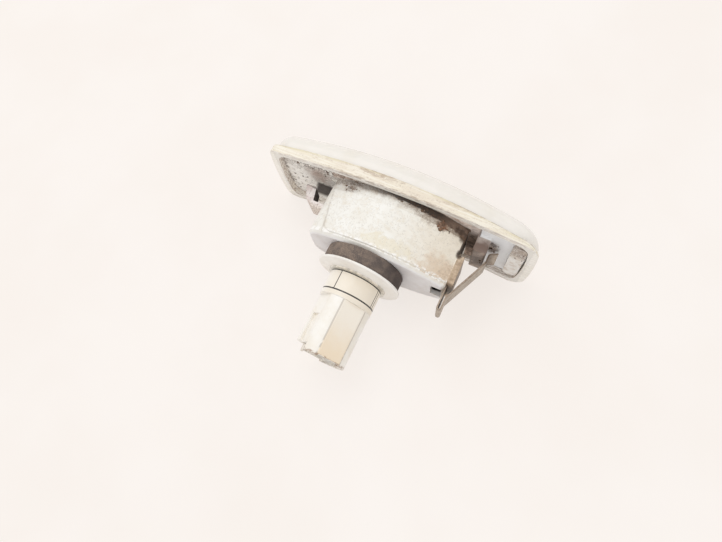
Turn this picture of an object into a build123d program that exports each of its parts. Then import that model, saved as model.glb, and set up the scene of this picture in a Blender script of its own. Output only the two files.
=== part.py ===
from build123d import *

import math
import os

# Side repeater lamp in its fitted attitude, in millimetres.
# X runs along the lens, with the hook end at +X and the spring end at -X.
# Y is the bulb axis, with the lens facing -Y and the plug socket at +Y. Z is up.
# The origin is where the bulb axis meets the seat, the plane that the rim's two ends rest on.

# Lens
lens_length = 80.2
lens_width = 26.2
lens_offset = 2.1  # lens centre from the bulb axis, towards the spring end
rim_hook_corner = 2.6
rim_spring_corner = 5.0
lens_end_bow = 0.9
lens_depth = 12.0  # seat to the front of the crown
lens_skirt = 5.0  # seat to the front edge of the upright side band at mid length
band_arch = 207.0  # radius of the band's front edge
seat_arch = 400.0  # radius of the band's back edge
seat_bow = 1.6  # how far the band's back edge arches off the seat at mid length
lens_arch = 170.0  # radius of the crown along the length
lens_crest = 3.5  # highest place of the crown, from the lens centre towards the hook end
lens_cross_arch = 110.0  # radius of the crown across the width
lens_shoulder = 4.9
lens_dome_inset = 0.4  # step from the side band in to the dome
dome_hook_corner = 5.3
dome_spring_corner = 8.5
lens_wall = 2.2
rim_end = 2.5  # width of the rim's back face at the two ends
rim_side = 1.9  # width of the rim's back face along the sides
pocket_corner = 3.1
plate_ledge = 0.6  # ledge inside the rim that the housing plate is bonded to
flute_pitch = 3.4
flute_radius = 2.6
flute_height = 0.6

# Housing plate
floor_depth = 2.0  # from the seat down to the floor inside the rim
plate_thickness = 2.0
bond_gap = 0.1
pad_inset = 0.55  # from the rim's inside end to the pad
pad_width = 18.6
pad_length = 4.0
pad_height = 1.6
pad_corner = 1.9

# Housing cup
cup_depth = 15.9  # seat to the back face
cup_wall = 1.8
cup_side_gap = 0.6  # between the cup and the inside of the rim
cup_side_radius = 48.0
cup_middle = -2.0  # where the cup is widest
hook_bay = 17.3  # from the cup's end wall to the rim's inside end, at the hook
spring_bay = 16.7  # the same at the spring
cup_nose_corner = 5.0
cup_heel_corner = 1.0
cup_back_bevel = 0.9
panel_rise = 0.4  # raised panel on the upper side wall
panel_front = 1.6
panel_margin = 1.4  # from the panel's edge to the back face
panel_hook_gap = 2.0  # from the hook-end wall to the panel, at its front edge
panel_slant = 3.0
panel_corner = 3.5

# Hook at the +X end
hook_width = 5.2
hook_grip = 1.2  # from the seat to the hook's tip, room for the wing panel
hook_tip = 3.3  # thickness at the tip
hook_neck = 2.5  # thickness where the arm meets the foot
hook_slot = 3.9  # gap between the arm and the cup at the foot
hook_lean = 1.1  # how far the arm leans outwards
hook_foot_front = 5.4
hook_foot_back = 7.3
hook_root = 1.0  # depth of the foot's root in the cup wall
hook_edge = 0.4

# Spring seat at the -X end
strap_front = 6.1
strap_back = 14.2
strap_thickness = 1.3
strap_post = 2.2
spring_side_gap = 0.2
spring_face_gap = 0.1
release_length = 2.9  # release pocket in the back face, along X
release_width = 6.0
release_floor = 7.0
release_web = 0.7  # web between the pocket and the spring
pocket_wall = 2.0  # wall between the lamp cup's chamber and the pocket
catch_front = 8.4
catch_back = 11.0
catch_width = 3.6
stop_length = 3.6
stop_width = 12.0
stop_height = 4.8
stop_gap = 0.7  # between the block and the spring's free leg
stop_edge = 0.5

# Retaining spring
spring_thickness = 0.4
spring_width = 7.8
spring_tail = 4.6  # front end of the inner leg
hairpin_depth = 20.7
hairpin_radius = 0.5
elbow_depth = 17.6
leg_spread = 5.95  # outward travel of the free leg at the knee
knee_depth = 4.2
ankle_depth = 1.6
foot_reach = 2.0
foot_rise = 0.7  # how far the foot's end stands above the seat
spring_bend = 1.0
barb_reach = 0.6
barb_length = 1.6
barb_width = 3.0

# Bulb holder
neck_radius = 6.9
neck_gap = 0.2
neck_front = 9.6
lug_count = 3
lug_radius = 8.7
lug_width = 5.0
lug_thickness = 1.8
lug_gap = 0.15
notch_gap = 0.3
notch_angle = 30.0
twist_angle = 45.0
seal_thickness = 4.6
seal_overhang = 0.8  # how far the seal stands out past the cup's sides
seal_gap = 0.1
seal_edge = 0.7
flange_lip = 0.85  # how far the flange stands out past the seal
flange_edge = 0.7
flange_rise = 1.2
flange_round = 0.3
collar_radius = 8.5
collar_height = 0.6
band_radius = 7.6
band_length = 7.8
plug_radius = 7.45
plug_length = 16.1
plug_round = 0.4
plug_clock = 35.0  # turn of the plug socket about the bulb axis
plug_flat = 6.75
flat_cutback = 0.5
plug_cavity_length = 10.0
plug_cavity_width = 9.2
plug_cavity_corner = 2.2
plug_cavity_depth = 14.6
latch_flat = 6.3
latch_slot_width = 4.0
latch_slot_flat = 5.7
latch_ledge_length = 5.8
latch_cutback = 2.05
latch_opening = 3.2
socket_radius = 5.2
socket_floor = 21.2

# Terminals
strip_thickness = 0.6
strip_gap = 0.05
leaf_width = 6.0
blade_width = 2.4
blade_spacing = 5.2
blade_length = 8.6
leaf_front = 10.4
leaf_flare = 0.9
leaf_contact = 14.2
leaf_heel = 17.8

# Bulb
bulb_radius = 5.0
bulb_wall = 0.6
bulb_tip = -7.2
bulb_shoulder = 5.6
bulb_throat = 9.4
bulb_throat_radius = 3.2
base_width = 9.0
base_thickness = 2.4
base_front = 7.9
base_back = 19.4
base_corner = 0.5
lead_radius = 0.22
lead_spacing = 4.8
lead_fold = 0.4
lead_end = 13.4
filament_radius = 0.2
filament_depth = 0.8
filament_arch = 0.9
touch_gap = 0.03

# Depths and places worked out from the sizes above
lens_middle = -lens_offset
crest_x = lens_middle + lens_crest
rim_half_width = lens_width / 2 - rim_side
rim_hook_end = lens_middle + lens_length / 2 - rim_end
rim_spring_end = lens_middle - lens_length / 2 + rim_end
plate_back = -floor_depth
plate_front = plate_back - plate_thickness
cup_half_width = rim_half_width - cup_side_gap
cup_hook_end = rim_hook_end - hook_bay
cup_spring_end = -rim_spring_end - spring_bay
cup_back_inside = cup_depth - cup_wall
chamber_spring_end = cup_spring_end - release_web - release_length - pocket_wall
seal_radius = cup_half_width + seal_overhang
flange_radius = seal_radius + flange_lip
flange_front = cup_depth + seal_thickness
flange_back = flange_front + flange_rise
band_back = flange_back + band_length
plug_back = band_back + plug_length
plug_floor = plug_back - plug_cavity_depth
blade_back = plug_floor + blade_length
spring_inner_x = -(cup_spring_end + spring_face_gap / 2 + spring_thickness / 2)
spring_outer_x = spring_inner_x - 2 * hairpin_radius
strap_inner_x = -(cup_spring_end + spring_thickness + spring_face_gap)
strap_outer_x = strap_inner_x - strap_thickness


def prism(outline, front, back):
    """An outline drawn in X and Z, extruded between two depths along Y."""
    return extrude(Plane.XZ.offset(-back) * outline, amount=back - front)


def block(x_range, y_range, z_range):
    """A box between two limits on each axis."""
    lows = (min(x_range), min(y_range), min(z_range))
    highs = (max(x_range), max(y_range), max(z_range))
    sizes = [high - low for low, high in zip(lows, highs)]
    middles = [(high + low) / 2 for low, high in zip(lows, highs)]
    return Pos(*middles) * Box(*sizes)


def clocked(shape):
    """Turns a piece from the plug socket's own directions to its place on the bulb axis."""
    return Rot(0, -plug_clock, 0) * shape


def bowed_rectangle(length, width, bow, hook_corner, spring_corner):
    """A rectangle with arched ends and round corners."""
    end = length / 2
    side = width / 2
    upper = Line((bow - end, side), (end - bow, side))
    right = ThreePointArc((end - bow, side), (end, 0), (end - bow, -side))
    lower = Line((end - bow, -side), (bow - end, -side))
    left = ThreePointArc((bow - end, -side), (-end, 0), (bow - end, side))
    outline = make_face([upper, right, lower, left])
    outline = fillet(outline.vertices().group_by(Axis.X)[-1], hook_corner)
    return fillet(outline.vertices().group_by(Axis.X)[0], spring_corner)


def lens_outline(end_inset, side_inset, hook_corner, spring_corner):
    """The lens's plan outline, drawn in by the given amounts."""
    length = lens_length - 2 * end_inset
    width = lens_width - 2 * side_inset
    return Pos(lens_middle, 0) * bowed_rectangle(length, width, lens_end_bow, hook_corner, spring_corner)


def crown_block(depth):
    """Everything behind the lens's doubly arched front, at the given depth of crown."""
    reach = lens_length / 2 + lens_crest
    sag = lens_arch - math.sqrt(lens_arch ** 2 - reach ** 2)
    axis_y = lens_cross_arch - depth
    front = ThreePointArc((-reach, sag - depth), (0, -depth), (reach, sag - depth))
    sides = Polyline((reach, sag - depth), (reach, axis_y), (-reach, axis_y), (-reach, sag - depth))
    axis = Axis((0, axis_y, 0), (1, 0, 0))
    return Pos(crest_x, 0, 0) * revolve(make_face([front, sides]), axis)


def dome_block(end_inset, side_inset, wall):
    """A solid with the lens's dome shape, rounded over at its front edge, inside a wall."""
    depth = lens_depth - wall
    shoulder = lens_shoulder - wall
    outline = lens_outline(end_inset, side_inset, dome_hook_corner - wall, dome_spring_corner - wall)
    dome = prism(outline, -depth, 0) & crown_block(depth)
    front_face = dome.faces().sort_by(Axis.Y)[0]
    return fillet(front_face.edges(), shoulder)


def make_lens():
    """Clear cover: side band, dome, rim pocket for the housing plate and flutes inside the front."""
    band = prism(lens_outline(0, 0, rim_hook_corner, rim_spring_corner), -lens_skirt, 0)
    band_crown = Cylinder(band_arch, 2 * lens_width)
    band &= Pos(crest_x, band_arch - lens_skirt, 0) * band_crown
    dome = dome_block(lens_dome_inset, lens_dome_inset, 0)
    arched_seat = Pos(lens_middle, seat_arch - seat_bow, 0) * Cylinder(seat_arch, 2 * lens_width)

    inner_depth = lens_depth - lens_wall
    inner_end = rim_end + plate_ledge
    cavity = dome_block(inner_end, rim_side + plate_ledge, lens_wall)
    plate_pocket = prism(lens_outline(rim_end, rim_side, pocket_corner, pocket_corner), plate_front, 0)

    fluted_length = lens_length - 2 * (inner_end + lens_shoulder + flute_pitch)
    flute_count = int(fluted_length / flute_pitch)
    flutes = []
    for index in range(flute_count):
        along = (index - (flute_count - 1) / 2) * flute_pitch
        sag = lens_arch - math.sqrt(lens_arch ** 2 - (along - lens_crest) ** 2)
        centre_y = sag - inner_depth + flute_height - flute_radius
        flutes.append(Pos(lens_middle + along, centre_y, 0) * Cylinder(flute_radius, lens_width))
    flute_fill = cavity & (Part() + flutes)
    return band + dome - arched_seat - cavity - plate_pocket + flute_fill


def cup_side(x, inset):
    """Half width of the cup's bowed sides at a place along X."""
    radius = cup_side_radius - inset
    return cup_half_width - inset - radius + math.sqrt(radius ** 2 - (x - cup_middle) ** 2)


def cup_outline(inset, spring_end):
    """Plan outline of the cup: bowed sides, a round nose at the hook end, a square heel."""
    nose = cup_hook_end - inset
    heel = -spring_end
    crest = cup_half_width - inset
    nose_side = cup_side(nose, inset)
    heel_side = cup_side(heel, inset)
    upper = ThreePointArc((heel, heel_side), (cup_middle, crest), (nose, nose_side))
    lower = ThreePointArc((heel, -heel_side), (cup_middle, -crest), (nose, -nose_side))
    nose_line = Line((nose, nose_side), (nose, -nose_side))
    heel_line = Line((heel, heel_side), (heel, -heel_side))
    outline = make_face([upper, nose_line, lower, heel_line])
    outline = fillet(outline.vertices().group_by(Axis.X)[-1], cup_nose_corner - inset)
    return fillet(outline.vertices().group_by(Axis.X)[0], cup_heel_corner)


def make_cup():
    """The lamp cup with its bevelled back edge and the raised panel on its upper side."""
    cup = prism(cup_outline(0, cup_spring_end), plate_front, cup_depth)
    back_face = cup.faces().sort_by(Axis.Y)[-1]
    cup = chamfer(back_face.edges(), cup_back_bevel)

    panel_back = cup_depth - panel_margin
    hook_x = cup_hook_end - panel_hook_gap
    spring_x = -cup_spring_end
    corners = Polyline(
        (spring_x, panel_front),
        (hook_x, panel_front),
        (hook_x - panel_slant, panel_back),
        (spring_x, panel_back),
        close=True,
    )
    panel_face = make_face(corners)
    rounded = panel_face.vertices().sort_by_distance((hook_x - panel_slant, panel_back))[0]
    panel_prism = extrude(fillet(rounded, panel_corner), amount=cup_half_width + panel_rise)
    return cup + (prism(cup_outline(-panel_rise, cup_spring_end), panel_front, panel_back) & panel_prism)


def make_hook():
    """Rigid hook: a foot on the cup's end wall and an arm that points back to the rim."""
    wall = cup_hook_end
    inner_foot = wall + hook_slot
    inner_tip = inner_foot + hook_lean
    corners = Polyline(
        (wall - hook_root, hook_foot_front),
        (inner_foot, hook_foot_front),
        (inner_tip, hook_grip),
        (inner_tip + hook_tip, hook_grip),
        (inner_foot + hook_neck, hook_foot_front),
        (wall + hook_slot, hook_foot_back),
        (wall - hook_root, hook_foot_back),
        close=True,
    )
    profile = make_face(corners)
    outer = [vertex for vertex in profile.vertices() if vertex.X > inner_foot + hook_edge]
    return extrude(fillet(outer, hook_edge), amount=hook_width / 2, both=True)


def make_spring_seat():
    """Strap and posts at the cup's heel that hold the spring's inner leg."""
    half_slot = spring_width / 2 + spring_side_gap
    half_width = half_slot + strap_post
    root = cup_heel_corner - cup_spring_end
    loop = block((root, strap_outer_x), (strap_front, strap_back), (-half_width, half_width))
    slot = block((-cup_spring_end, strap_inner_x), (strap_front, strap_back), (-half_slot, half_slot))
    return loop - slot


def make_stop_block():
    """Block on the plate that backs up the spring's free leg."""
    outer_x = spring_outer_x - leg_spread + spring_thickness / 2 + stop_gap
    body = block((outer_x, outer_x + stop_length), (plate_front, plate_back + stop_height),
                 (-stop_width / 2, stop_width / 2))
    return fillet(body.faces().sort_by(Axis.Y)[-1].edges(), stop_edge)


def make_plate():
    """The plate that closes the lens, with a raised pad at the spring end."""
    inset_end = rim_end + bond_gap
    inset_side = rim_side + bond_gap
    outline = lens_outline(inset_end, inset_side, pocket_corner, pocket_corner)
    plate = prism(outline, plate_front, plate_back)
    pad_x = rim_spring_end + pad_inset + pad_length / 2
    pad = fillet(Rectangle(pad_length, pad_width).vertices(), pad_corner)
    return plate + prism(Pos(pad_x, 0) * pad, plate_front, plate_back + pad_height)


def lug_outline(radius, width, first_angle):
    """Bayonet lugs or their notches, evenly spaced about the bulb axis."""
    arms = Sketch()
    for index in range(lug_count):
        angle = first_angle + index * 360 / lug_count
        arms += Rot(0, 0, angle) * Pos(radius / 2, 0) * Rectangle(radius, width)
    return arms & Circle(radius)


def make_housing():
    """One moulding: plate, lamp cup, hook, spring seat and stop block."""
    housing = make_plate() + make_cup() + make_hook() + make_spring_seat() + make_stop_block()
    housing -= prism(cup_outline(cup_wall, chamber_spring_end), plate_front, cup_back_inside)

    bulb_hole = Circle(neck_radius + neck_gap)
    bulb_hole += lug_outline(lug_radius + notch_gap, lug_width + 2 * notch_gap, notch_angle)
    housing -= prism(bulb_hole, cup_back_inside, cup_depth)

    pocket_outer = release_web - cup_spring_end
    housing -= block((pocket_outer, pocket_outer + release_length), (release_floor, cup_depth),
                     (-release_width / 2, release_width / 2))
    return housing - block((-cup_spring_end, pocket_outer), (catch_front, catch_back),
                           (-catch_width / 2, catch_width / 2))


def make_retaining_spring():
    """Strip bent to a V: inner leg with a barb, hairpin, free leg and turned-out foot."""
    knee_x = spring_outer_x - leg_spread
    inner_leg = Line((spring_inner_x, spring_tail), (spring_inner_x, hairpin_depth))
    apex = ((spring_inner_x + spring_outer_x) / 2, hairpin_depth + hairpin_radius)
    hairpin = ThreePointArc((spring_inner_x, hairpin_depth), apex, (spring_outer_x, hairpin_depth))
    free_leg = FilletPolyline(
        (spring_outer_x, hairpin_depth),
        (spring_outer_x, elbow_depth),
        (knee_x, knee_depth),
        (knee_x, ankle_depth),
        (knee_x - foot_reach, foot_rise),
        radius=spring_bend,
    )
    centre_line = Wire([inner_leg, hairpin, *free_leg.edges()])
    strip = make_face(offset(centre_line, spring_thickness / 2, kind=Kind.ARC))
    spring = extrude(strip, amount=spring_width / 2, both=True)

    face_x = spring_inner_x + spring_thickness / 2
    barb_back = catch_back - spring_face_gap
    barb = make_face(Polyline(
        (spring_inner_x, barb_back - barb_length),
        (face_x, barb_back - barb_length),
        (face_x + barb_reach, barb_back),
        (spring_inner_x, barb_back),
        close=True,
    ))
    return spring + extrude(barb, amount=barb_width / 2, both=True)


def make_bulb_holder():
    """Turned-looking body with neck, lugs and flange, and the clocked plug socket behind it."""
    profile = make_face(Polyline(
        (0, neck_front),
        (neck_radius, neck_front),
        (neck_radius, flange_front),
        (flange_radius, flange_front),
        (flange_radius, flange_front + flange_edge),
        (collar_radius, flange_back),
        (collar_radius, flange_back + collar_height),
        (band_radius, flange_back + collar_height),
        (band_radius, band_back),
        (plug_radius, band_back),
        (plug_radius, plug_back),
        (0, plug_back),
        close=True,
    ))
    rim = [vertex for vertex in profile.vertices() if vertex.X > flange_radius - flange_round]
    profile = fillet(rim, flange_round)
    lip = profile.vertices().sort_by_distance((plug_radius, plug_back))[0]
    holder = revolve(fillet(lip, plug_round), Axis.Y)
    lug_back = cup_back_inside - lug_gap
    lugs = lug_outline(lug_radius, lug_width, notch_angle + twist_angle)
    holder += prism(lugs, lug_back - lug_thickness, lug_back)
    holder -= prism(Circle(socket_radius), neck_front, socket_floor)
    return holder - clocked(make_plug_cuts())


def make_plug_cuts():
    """What is cut from the round body: flats, latch recess, plug cavity and terminal slots."""
    reach = flange_radius
    half_flat = math.sqrt(plug_radius ** 2 - plug_flat ** 2)
    half_latch = math.sqrt(plug_radius ** 2 - latch_flat ** 2)
    half_slot = latch_slot_width / 2
    ledge_back = band_back + latch_ledge_length
    cuts = Part()
    for side in (-1, 1):
        cuts += block((-reach, reach), (band_back, plug_back), (side * plug_flat, side * reach))
        cuts += block((-half_flat, half_flat), (plug_back - flat_cutback, plug_back), (0, side * reach))
        slot_z = side * blade_spacing / 2
        half_strip = strip_thickness / 2 + strip_gap
        half_blade = blade_width / 2 + strip_gap
        cuts += block((-half_blade, half_blade), (socket_floor, plug_floor),
                      (slot_z - half_strip, slot_z + half_strip))
    cuts += block((latch_flat, reach), (band_back, plug_back), (-reach, reach))
    cuts += block((latch_slot_flat, reach), (ledge_back, plug_back), (-half_slot, half_slot))
    cuts += block((latch_opening, reach), (plug_back - latch_cutback, plug_back), (-reach, half_latch))
    cavity = fillet(Rectangle(plug_cavity_length, plug_cavity_width).vertices(), plug_cavity_corner)
    return cuts + prism(cavity, plug_floor, plug_back)


def make_socket_seal():
    """Thick rubber ring squeezed between the housing's back face and the holder's flange."""
    inner = neck_radius + seal_gap
    section = make_face(Polyline(
        (inner, cup_depth),
        (seal_radius, cup_depth),
        (seal_radius, flange_front),
        (inner, flange_front),
        close=True,
    ))
    outer = section.vertices().group_by(Axis.X)[-1]
    return revolve(fillet(outer, seal_edge), Axis.Y)


def make_terminal(side):
    """One stamping: a bowed leaf that presses on the bulb's lead, and a plug blade."""
    blade_z = side * blade_spacing / 2
    contact = base_thickness / 2 + 2 * (lead_radius + touch_gap) + strip_thickness / 2
    leaf_path = Polyline(
        (side * (contact + leaf_flare), leaf_front),
        (side * contact, leaf_contact),
        (blade_z, leaf_heel),
    )
    blade_path = Line((blade_z, leaf_heel), (blade_z, blade_back))
    upright = Plane(origin=(0, 0, 0), x_dir=(0, 0, 1), z_dir=(-1, 0, 0))
    leaf = make_face(offset(Wire(leaf_path.edges()), strip_thickness / 2, kind=Kind.ARC))
    blade = make_face(offset(Wire([blade_path]), strip_thickness / 2, kind=Kind.ARC))
    terminal = extrude(upright * leaf, amount=leaf_width / 2, both=True)
    terminal += extrude(upright * blade, amount=blade_width / 2, both=True)
    return clocked(terminal)


def make_lead(side):
    """Bulb lead: a post to the filament, through the base and folded up over one face."""
    along_x = side * lead_spacing / 2
    fold_y = base_back + lead_fold
    face_z = side * (base_thickness / 2 + lead_radius + touch_gap)
    path = FilletPolyline(
        (along_x, filament_depth, 0),
        (along_x, fold_y, 0),
        (along_x, fold_y, face_z),
        (along_x, lead_end, face_z),
        radius=lead_fold,
    )
    section = Plane(origin=(along_x, filament_depth, 0), z_dir=(0, 1, 0)) * Circle(lead_radius)
    return sweep(section, path)


def make_filament():
    """Coiled filament, drawn as the arched rod that its coil fills."""
    end_x = lead_spacing / 2
    path = ThreePointArc(
        (-end_x, filament_depth, 0),
        (0, filament_depth - filament_arch, 0),
        (end_x, filament_depth, 0),
    )
    start = Plane(origin=path @ 0, z_dir=path % 0)
    return sweep(start * Circle(filament_radius), path)


def make_bulb_glass():
    """Blown envelope with a pinched flat base."""
    crown_y = bulb_tip + bulb_radius
    tip = CenterArc((0, crown_y), bulb_radius, -90, 90)
    side = Polyline((bulb_radius, crown_y), (bulb_radius, bulb_shoulder),
                    (bulb_throat_radius, bulb_throat), (0, bulb_throat), (0, bulb_tip))
    envelope = revolve(make_face([tip, side]), Axis.Y)

    inner_radius = bulb_radius - bulb_wall
    inner_tip = CenterArc((0, crown_y), inner_radius, -90, 90)
    inner_side = Polyline((inner_radius, crown_y), (inner_radius, bulb_shoulder),
                          (bulb_throat_radius - bulb_wall, bulb_throat - bulb_wall),
                          (0, bulb_throat - bulb_wall), (0, bulb_tip + bulb_wall))
    gas = revolve(make_face([inner_tip, inner_side]), Axis.Y)

    base_section = fillet(Rectangle(base_width, base_thickness).vertices(), base_corner)
    glass = envelope - gas + prism(base_section, base_front, base_back)
    for side in (-1, 1):
        lead_hole = Pos(side * lead_spacing / 2, 0) * Circle(lead_radius)
        glass -= prism(lead_hole, bulb_shoulder, base_back)
    return glass


def make_bulb():
    """The bulb's four pieces, in their places on the bulb axis."""
    lead_a = make_lead(-1)
    lead_b = make_lead(1)
    filament = make_filament() - lead_a - lead_b
    return {
        "bulb_glass": clocked(make_bulb_glass()),
        "bulb_filament": clocked(filament),
        "bulb_lead_a": clocked(lead_a),
        "bulb_lead_b": clocked(lead_b),
    }


nodes = {
    "lens": make_lens(),
    "housing": make_housing(),
    "retaining_spring": make_retaining_spring(),
    "bulb_holder": make_bulb_holder(),
    "socket_seal": make_socket_seal(),
    "terminal_upper": make_terminal(1),
    "terminal_lower": make_terminal(-1),
}
nodes.update(make_bulb())

os.makedirs("parts", exist_ok=True)
for name, shape in nodes.items():
    export_step(shape, f"parts/{name}.step")
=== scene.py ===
"""Side repeater lamp: looks, floor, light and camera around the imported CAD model."""

import functools
import math
import random

import bmesh
import bpy
from mathutils import Matrix, Vector, noise
from mathutils.bvhtree import BVHTree


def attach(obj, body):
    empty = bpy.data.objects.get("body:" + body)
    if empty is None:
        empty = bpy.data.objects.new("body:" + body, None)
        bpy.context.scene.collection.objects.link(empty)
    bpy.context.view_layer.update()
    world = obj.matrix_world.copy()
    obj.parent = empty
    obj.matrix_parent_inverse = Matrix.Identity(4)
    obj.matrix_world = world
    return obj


MM = 0.001

# Camera, in the part's frame
IMAGE_WIDTH = 722
FOCAL_PIXELS = 491.67
SENSOR_WIDTH = 36.0
CAMERA_PLACE = Vector((-31.544, 55.564, 128.877)) * MM
CAMERA_AIM = Vector((0.275, 18.770, 0.0)) * MM
CAMERA_ROLL = -15.931

# Floor and light
FLOOR_Z = -13.1 * MM
FLOOR_HALF = 2.0
FLOOR_GLOW = 0.78
WORLD_STRENGTH = 0.80
KEY_PLACE = Vector((260, -220, 620)) * MM
KEY_AIM = Vector((0, 15, 0)) * MM
KEY_SIZE = 0.55
KEY_POWER = 1.25

# Places on the lens that the looks follow, in millimetres. A pair is where a mask starts and is full.
LENS_MIDDLE = -2.1
LENS_END = (38.0, 38.6)
LENS_SKIRT = 5.0
CREST_X = 1.4
BAND_ARCH = 207.0
SEAT_ARCH = 400.0
SEAT_BOW = 1.6
RIM_INSIDE = 11.2
SHOULDER_BACK = (-6.0, -7.5)
WELL_FRONT = (-2.6, -1.9)
CAVITY_HALF_LENGTH = 35.4
CAVITY_HALF_WIDTH = 8.6

# Places on the housing's cup
CUP_MIDDLE = -2.0
CUP_SIDE = 10.6
CUP_SIDE_RADIUS = 46.0
CUP_HOOK_END = 18.2
CUP_SPRING_END = -23.0
CUP_BACK = 15.9
CUP_START = (CUP_SPRING_END - 2.6, CUP_SPRING_END - 2.4)
CUP_STOP = (CUP_HOOK_END + 0.2, CUP_HOOK_END)
EXPOSED = (-3.2, -2.7)
PANEL_EDGE = 16.6
PANEL_SLANT = 0.233
STAIN_FRONT = (4.0, 8.0)
# Where the painted highlight runs along the wall's back edge
CHIPPED_HIGHLIGHT_EDGE = (13.4, 14.4)
HEEL_BACK = (6.8, 5.4)
FILL_START = -8.0
FILL_RISE = 0.11
POCKET_X = -20.85
POCKET_HALF = 1.5
POCKET_SIDE = (3.2, 3.1)
POCKET_MOUTH = (15.8, 15.6)
POCKET_FLOOR = (6.8, 7.0)
POCKET_SHADOW = (14.4, 14.9)

# Places at the housing's hook end
HOOK_FLOOR_TOP = (0.9, 0.3)
TOP_SHADE = (2.6, 7.6)
TOP_LINE = (7.2, 8.8)
END_LINE = (34.4, 35.4)
HOOK_FRONT = (0.9, 1.4)
HOOK_TIP = (1.9, 1.3)
HOOK_FOOT = (5.6, 7.0)
ARM_BACK = (6.0, 5.2)
SLOT_SLANT = 0.32
SLOT_ARM_SIDE = (25.4, 24.2)
SLOT_TOP = (0.2, -1.2)
SLOT_FOOT = (-10.0, -7.0)
NOSE_BACK = (5.6, 4.6)
NOSE_HALF = 2.6

# Places at the housing's spring end and on the spring
SPRING_FLOOR_TOP = (-0.9, -1.2)
PAD_START = (-35.0, -35.3)
PAD_FOOT = (-1.9, -1.7)
BLOCK_START = (-30.2, -30.0)
BLOCK_FOOT = (-1.4, -1.1)
BLOCK_TOP = (5.6, 4.4)
BLOCK_SHADOW = (-1.6, 1.2)
BAY_START = (-26.2, -25.9)
RIB_X = -26.0
RIB_START = (5.0, 6.0)
TRENCH_X = -24.2
TRENCH_HALF = 1.4
TRENCH_TOP = (6.0, 2.4)
TRENCH_BACK = (2.4, 1.4)
STRAP_FRONT = (4.4, 5.6)
STRIP_EDGE = (2.9, 3.7)
STRIP_FOOT_FRONT = (1.0, 1.8)
STRIP_FOOT_BACK = (7.0, 4.6)

# Places on the bulb and its holder
BAND_FRONT = 21.7
BAND_BACK = 29.5
PLUG_BACK = 45.6
PLUG_FLAT = 6.75
PLUG_CLOCK = 35.0
PLUG_AGED = (35.0, 48.0)
PRINT_RINGS = (22.55, 27.97)
PRINT_MARKS = (65.5, 160.5, 168.0)
BULB_PINCH = (4.0, 12.0)

# Crumbs of soil: chance, stretch, lumpiness, and how steep a face holds one
CRUMB_DICE = 7
CRUMB_SEEDS = 90
CRUMB_STRETCH = (0.6, 1.5)
CRUMB_SWELL = 0.7
CRUMB_GRAIN = 1.8
CRUMB_FLATTEN = 0.45
CRUMB_FACING = -0.4

# Where dirt has gathered, as a centre and a reach in millimetres; by the crevice and the heel the dark there
# is painted shadow as well
BAND_STAIN = ((4.6, -4.6, 13.1), (8.0, 1.5, 3.0))
BAND_SMEAR = ((-20.0, -3.6, 13.1), (10.0, 0.9, 3.0))
CREVICE_LUMP = ((11.4, 0.0, 8.7), (3.2, 2.0, 3.0))
CREVICE_GRIME = ((-13.0, 0.4, 9.3), (8.0, 2.6, 3.0))
RUST = ((-16.2, 1.0, 8.6), (2.6, 1.9, 3.0))
HEEL_GRIME = ((-22.4, 0.8, 6.4), (1.7, 2.2, 4.0))
HEEL_NOTCH = ((-23.2, 5.8, 5.6), (1.2, 1.7, 3.4))
WALL_YELLOWING = ((-5.0, 12.6, 10.5), (9.0, 3.0, 3.0))
WALL_STAIN = ((-20.0, 12.6, 7.5), (9.0, 5.4, 5.0))
STAIN_CORE = ((-22.4, 12.4, 6.5), (3.0, 4.2, 4.0))
HOOK_MUD = ((23.6, -2.0, 4.0), (6.4, 4.0, 6.4))
SPRING_DIRT = ((-30.2, -1.0, 0.6), (2.4, 3.0, 4.4))
PAD_DIRT = ((-37.4, -0.4, 6.6), (4.4, 3.0, 4.6))


def srgb(red, green, blue):
    """A colour written in display values, as the shader's linear values."""
    linear = []
    for value in (red, green, blue):
        share = value / 255
        linear.append(share / 12.92 if share <= 0.04045 else ((share + 0.055) / 1.055) ** 2.4)
    return (*linear, 1.0)


# Floor and soil colours
PALE_FLOOR = srgb(252, 246, 241)
PAPER_SHADE = srgb(250, 243, 237)
SOIL = srgb(92, 72, 58)
SOIL_DARK = srgb(44, 35, 31)
SOIL_WARM = srgb(142, 108, 82)
RUST_TONE = srgb(150, 110, 84)

# Lens colours
LENS_MILKY = srgb(254, 249, 242)
LENS_CLOUDED = srgb(249, 243, 233)
BAND_PALE = srgb(245, 238, 223)
BAND_YELLOW = srgb(238, 228, 207)
BAND_TAN = srgb(226, 210, 192)
# Painted shade for the outline on the dome's shoulder
SHOULDER_SHADE_PAINTED = srgb(196, 184, 170)
RIDGE_LINE = srgb(214, 205, 166)
CREASE_LINE = srgb(128, 112, 96)
SMEAR_BROWN = srgb(176, 148, 124)
RIM_PALE = srgb(254, 250, 243)
RIM_CLOUDED = srgb(248, 243, 233)
RIM_DIRT = srgb(150, 126, 106)

# Housing colours
MOULDING = srgb(247, 245, 239)
MOULDING_SHADE = srgb(240, 236, 227)
WALL_AGED = srgb(238, 228, 211)
WALL_MOTTLE = srgb(222, 211, 192)
WALL_CREAM = srgb(232, 220, 188)
STAIN_TAN = srgb(214, 188, 160)
STAIN_BROWN = srgb(172, 138, 106)
SCUFF_GREY = srgb(180, 170, 158)
# Painted shade along the raised panel's edge
PANEL_EDGE_SHADE = srgb(176, 164, 150)
# Painted highlight with ragged chipping on the back edge
CHIP_AND_HIGHLIGHT_WHITE = srgb(255, 253, 250)
# Painted shade: the back face's cooler, darker tones
BACK_SHADE_PALE = srgb(240, 237, 237)
BACK_SHADE_CLOUDED = srgb(228, 223, 221)
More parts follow.
